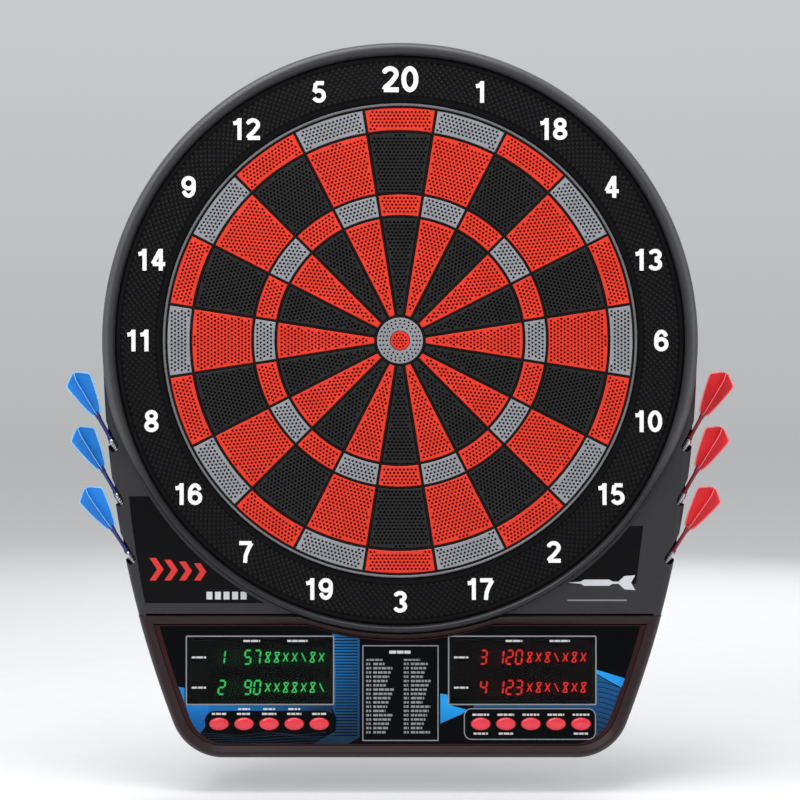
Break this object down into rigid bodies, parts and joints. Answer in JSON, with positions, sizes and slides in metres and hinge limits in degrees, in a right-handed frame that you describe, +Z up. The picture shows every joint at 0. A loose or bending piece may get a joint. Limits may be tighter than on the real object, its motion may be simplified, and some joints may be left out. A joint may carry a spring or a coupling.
{
  "type": "electronic dartboard",
  "caption": "Wall-hung electronic soft-tip dartboard with a round segmented target, a number ring, a score panel with buttons below, and darts stored in the sides of the housing.",
  "frame": {"origin": "on the rear plane that lies against the wall, straight behind the centre of the bull", "axes": "+Z up, the target faces -Y, +Y goes into the wall, +X to the right as the board is looked at"},
  "size_m": [0.5656, 0.0458, 0.6026],
  "materials": {
    "housing": "satin charcoal injection-moulded plastic",
    "ring_black": "matt black plastic with a fine diamond texture",
    "spider_black": "matt black plastic",
    "segment_red": "satin red-orange plastic with moulded holes",
    "segment_black": "satin black plastic with moulded holes",
    "bull_grey": "satin grey plastic with moulded holes",
    "rubber": "matt black rubber",
    "film": "clear amber polyester film",
    "board_plastic": "matt dark grey moulded plastic",
    "fascia": "gloss black printed panel with blue artwork",
    "smoked_window": "smoked clear plastic",
    "led_housing": "black display moulding",
    "circuit": "green circuit board",
    "button_red": "gloss red plastic",
    "speaker_metal": "steel speaker basket with a paper cone",
    "dart_metal": "bright knurled steel barrel",
    "flight_blue": "thin blue plastic",
    "flight_red": "thin red plastic"
  },
  "bodies": {
    "housing": {"rear_cover": "housing", "front_bezel": "housing", "catch_ring": "ring_black", "spider": "spider_black", "rubber_pad": "rubber", "sensor_membrane": "film", "backing_board": "board_plastic", "fascia": "fascia", "score_window_left": "smoked_window", "score_window_right": "smoked_window", "led_display_left": "led_housing", "led_display_right": "led_housing", "button_pad": "rubber", "main_board": "circuit", "speaker": "speaker_metal", "power_jack": "led_housing"},
    "dart_left_1": {"dart_left_1": "dart_metal", "flight_left_1": "flight_blue"},
    "dart_left_2": {"dart_left_2": "dart_metal", "flight_left_2": "flight_blue"},
    "dart_left_3": {"dart_left_3": "dart_metal", "flight_left_3": "flight_blue"},
    "dart_right_1": {"dart_right_1": "dart_metal", "flight_right_1": "flight_red"},
    "dart_right_2": {"dart_right_2": "dart_metal", "flight_right_2": "flight_red"},
    "dart_right_3": {"dart_right_3": "dart_metal", "flight_right_3": "flight_red"},
    "button_left_1": {"button_left_1": "button_red"},
    "button_left_2": {"button_left_2": "button_red"},
    "button_left_3": {"button_left_3": "button_red"},
    "button_left_4": {"button_left_4": "button_red"},
    "button_left_5": {"button_left_5": "button_red"},
    "button_right_1": {"button_right_1": "button_red"},
    "button_right_2": {"button_right_2": "button_red"},
    "button_right_3": {"button_right_3": "button_red"},
    "button_right_4": {"button_right_4": "button_red"},
    "button_right_5": {"button_right_5": "button_red"},
    "inner_bull": {"inner_bull": "segment_red"},
    "outer_bull": {"outer_bull": "bull_grey"},
    "segments_20": {"segments_20": "segment_black"},
    "segments_1": {"segments_1": "segment_red"},
    "segments_18": {"segments_18": "segment_black"},
    "segments_4": {"segments_4": "segment_red"},
    "segments_13": {"segments_13": "segment_black"},
    "segments_6": {"segments_6": "segment_red"},
    "segments_10": {"segments_10": "segment_black"},
    "segments_15": {"segments_15": "segment_red"},
    "segments_2": {"segments_2": "segment_black"},
    "segments_17": {"segments_17": "segment_red"},
    "segments_3": {"segments_3": "segment_black"},
    "segments_19": {"segments_19": "segment_red"},
    "segments_7": {"segments_7": "segment_black"},
    "segments_16": {"segments_16": "segment_red"},
    "segments_8": {"segments_8": "segment_black"},
    "segments_11": {"segments_11": "segment_red"},
    "segments_14": {"segments_14": "segment_black"},
    "segments_9": {"segments_9": "segment_red"},
    "segments_12": {"segments_12": "segment_black"},
    "segments_5": {"segments_5": "segment_red"}
  },
  "joints": [
    {"name": "dart_left_1_pull", "type": "slide", "parent": "housing", "child": "dart_left_1", "axis": [-0.4848, 0, 0.8746], "range_m": [0, 0.09]},
    {"name": "dart_left_2_pull", "type": "slide", "parent": "housing", "child": "dart_left_2", "axis": [-0.5, 0, 0.866], "range_m": [0, 0.09]},
    {"name": "dart_left_3_pull", "type": "slide", "parent": "housing", "child": "dart_left_3", "axis": [-0.5446, 0, 0.8387], "range_m": [0, 0.09]},
    {"name": "dart_right_1_pull", "type": "slide", "parent": "housing", "child": "dart_right_1", "axis": [0.4848, 0, 0.8746], "range_m": [0, 0.09]},
    {"name": "dart_right_2_pull", "type": "slide", "parent": "housing", "child": "dart_right_2", "axis": [0.5, 0, 0.866], "range_m": [0, 0.09]},
    {"name": "dart_right_3_pull", "type": "slide", "parent": "housing", "child": "dart_right_3", "axis": [0.5446, 0, 0.8387], "range_m": [0, 0.09]},
    {"name": "button_left_1_press", "type": "slide", "parent": "housing", "child": "button_left_1", "axis": [0, 1, 0], "range_m": [0, 0.0012], "stiffness_N_per_m": 300},
    {"name": "button_left_2_press", "type": "slide", "parent": "housing", "child": "button_left_2", "axis": [0, 1, 0], "range_m": [0, 0.0012], "stiffness_N_per_m": 300},
    {"name": "button_left_3_press", "type": "slide", "parent": "housing", "child": "button_left_3", "axis": [0, 1, 0], "range_m": [0, 0.0012], "stiffness_N_per_m": 300},
    {"name": "button_left_4_press", "type": "slide", "parent": "housing", "child": "button_left_4", "axis": [0, 1, 0], "range_m": [0, 0.0012], "stiffness_N_per_m": 300},
    {"name": "button_left_5_press", "type": "slide", "parent": "housing", "child": "button_left_5", "axis": [0, 1, 0], "range_m": [0, 0.0012], "stiffness_N_per_m": 300},
    {"name": "button_right_1_press", "type": "slide", "parent": "housing", "child": "button_right_1", "axis": [0, 1, 0], "range_m": [0, 0.0012], "stiffness_N_per_m": 300},
    {"name": "button_right_2_press", "type": "slide", "parent": "housing", "child": "button_right_2", "axis": [0, 1, 0], "range_m": [0, 0.0012], "stiffness_N_per_m": 300},
    {"name": "button_right_3_press", "type": "slide", "parent": "housing", "child": "button_right_3", "axis": [0, 1, 0], "range_m": [0, 0.0012], "stiffness_N_per_m": 300},
    {"name": "button_right_4_press", "type": "slide", "parent": "housing", "child": "button_right_4", "axis": [0, 1, 0], "range_m": [0, 0.0012], "stiffness_N_per_m": 300},
    {"name": "button_right_5_press", "type": "slide", "parent": "housing", "child": "button_right_5", "axis": [0, 1, 0], "range_m": [0, 0.0012], "stiffness_N_per_m": 300},
    {"name": "inner_bull_press", "type": "slide", "parent": "housing", "child": "inner_bull", "axis": [0, 1, 0], "range_m": [0, 0.0012], "stiffness_N_per_m": 500},
    {"name": "outer_bull_press", "type": "slide", "parent": "housing", "child": "outer_bull", "axis": [0, 1, 0], "range_m": [0, 0.0012], "stiffness_N_per_m": 500},
    {"name": "segments_20_press", "type": "slide", "parent": "housing", "child": "segments_20", "axis": [0, 1, 0], "range_m": [0, 0.0012], "stiffness_N_per_m": 500},
    {"name": "segments_1_press", "type": "slide", "parent": "housing", "child": "segments_1", "axis": [0, 1, 0], "range_m": [0, 0.0012], "stiffness_N_per_m": 500},
    {"name": "segments_18_press", "type": "slide", "parent": "housing", "child": "segments_18", "axis": [0, 1, 0], "range_m": [0, 0.0012], "stiffness_N_per_m": 500},
    {"name": "segments_4_press", "type": "slide", "parent": "housing", "child": "segments_4", "axis": [0, 1, 0], "range_m": [0, 0.0012], "stiffness_N_per_m": 500},
    {"name": "segments_13_press", "type": "slide", "parent": "housing", "child": "segments_13", "axis": [0, 1, 0], "range_m": [0, 0.0012], "stiffness_N_per_m": 500},
    {"name": "segments_6_press", "type": "slide", "parent": "housing", "child": "segments_6", "axis": [0, 1, 0], "range_m": [0, 0.0012], "stiffness_N_per_m": 500},
    {"name": "segments_10_press", "type": "slide", "parent": "housing", "child": "segments_10", "axis": [0, 1, 0], "range_m": [0, 0.0012], "stiffness_N_per_m": 500},
    {"name": "segments_15_press", "type": "slide", "parent": "housing", "child": "segments_15", "axis": [0, 1, 0], "range_m": [0, 0.0012], "stiffness_N_per_m": 500},
    {"name": "segments_2_press", "type": "slide", "parent": "housing", "child": "segments_2", "axis": [0, 1, 0], "range_m": [0, 0.0012], "stiffness_N_per_m": 500},
    {"name": "segments_17_press", "type": "slide", "parent": "housing", "child": "segments_17", "axis": [0, 1, 0], "range_m": [0, 0.0012], "stiffness_N_per_m": 500},
    {"name": "segments_3_press", "type": "slide", "parent": "housing", "child": "segments_3", "axis": [0, 1, 0], "range_m": [0, 0.0012], "stiffness_N_per_m": 500},
    {"name": "segments_19_press", "type": "slide", "parent": "housing", "child": "segments_19", "axis": [0, 1, 0], "range_m": [0, 0.0012], "stiffness_N_per_m": 500},
    {"name": "segments_7_press", "type": "slide", "parent": "housing", "child": "segments_7", "axis": [0, 1, 0], "range_m": [0, 0.0012], "stiffness_N_per_m": 500},
    {"name": "segments_16_press", "type": "slide", "parent": "housing", "child": "segments_16", "axis": [0, 1, 0], "range_m": [0, 0.0012], "stiffness_N_per_m": 500},
    {"name": "segments_8_press", "type": "slide", "parent": "housing", "child": "segments_8", "axis": [0, 1, 0], "range_m": [0, 0.0012], "stiffness_N_per_m": 500},
    {"name": "segments_11_press", "type": "slide", "parent": "housing", "child": "segments_11", "axis": [0, 1, 0], "range_m": [0, 0.0012], "stiffness_N_per_m": 500},
    {"name": "segments_14_press", "type": "slide", "parent": "housing", "child": "segments_14", "axis": [0, 1, 0], "range_m": [0, 0.0012], "stiffness_N_per_m": 500},
    {"name": "segments_9_press", "type": "slide", "parent": "housing", "child": "segments_9", "axis": [0, 1, 0], "range_m": [0, 0.0012], "stiffness_N_per_m": 500},
    {"name": "segments_12_press", "type": "slide", "parent": "housing", "child": "segments_12", "axis": [0, 1, 0], "range_m": [0, 0.0012], "stiffness_N_per_m": 500},
    {"name": "segments_5_press", "type": "slide", "parent": "housing", "child": "segments_5", "axis": [0, 1, 0], "range_m": [0, 0.0012], "stiffness_N_per_m": 500}
  ]
}
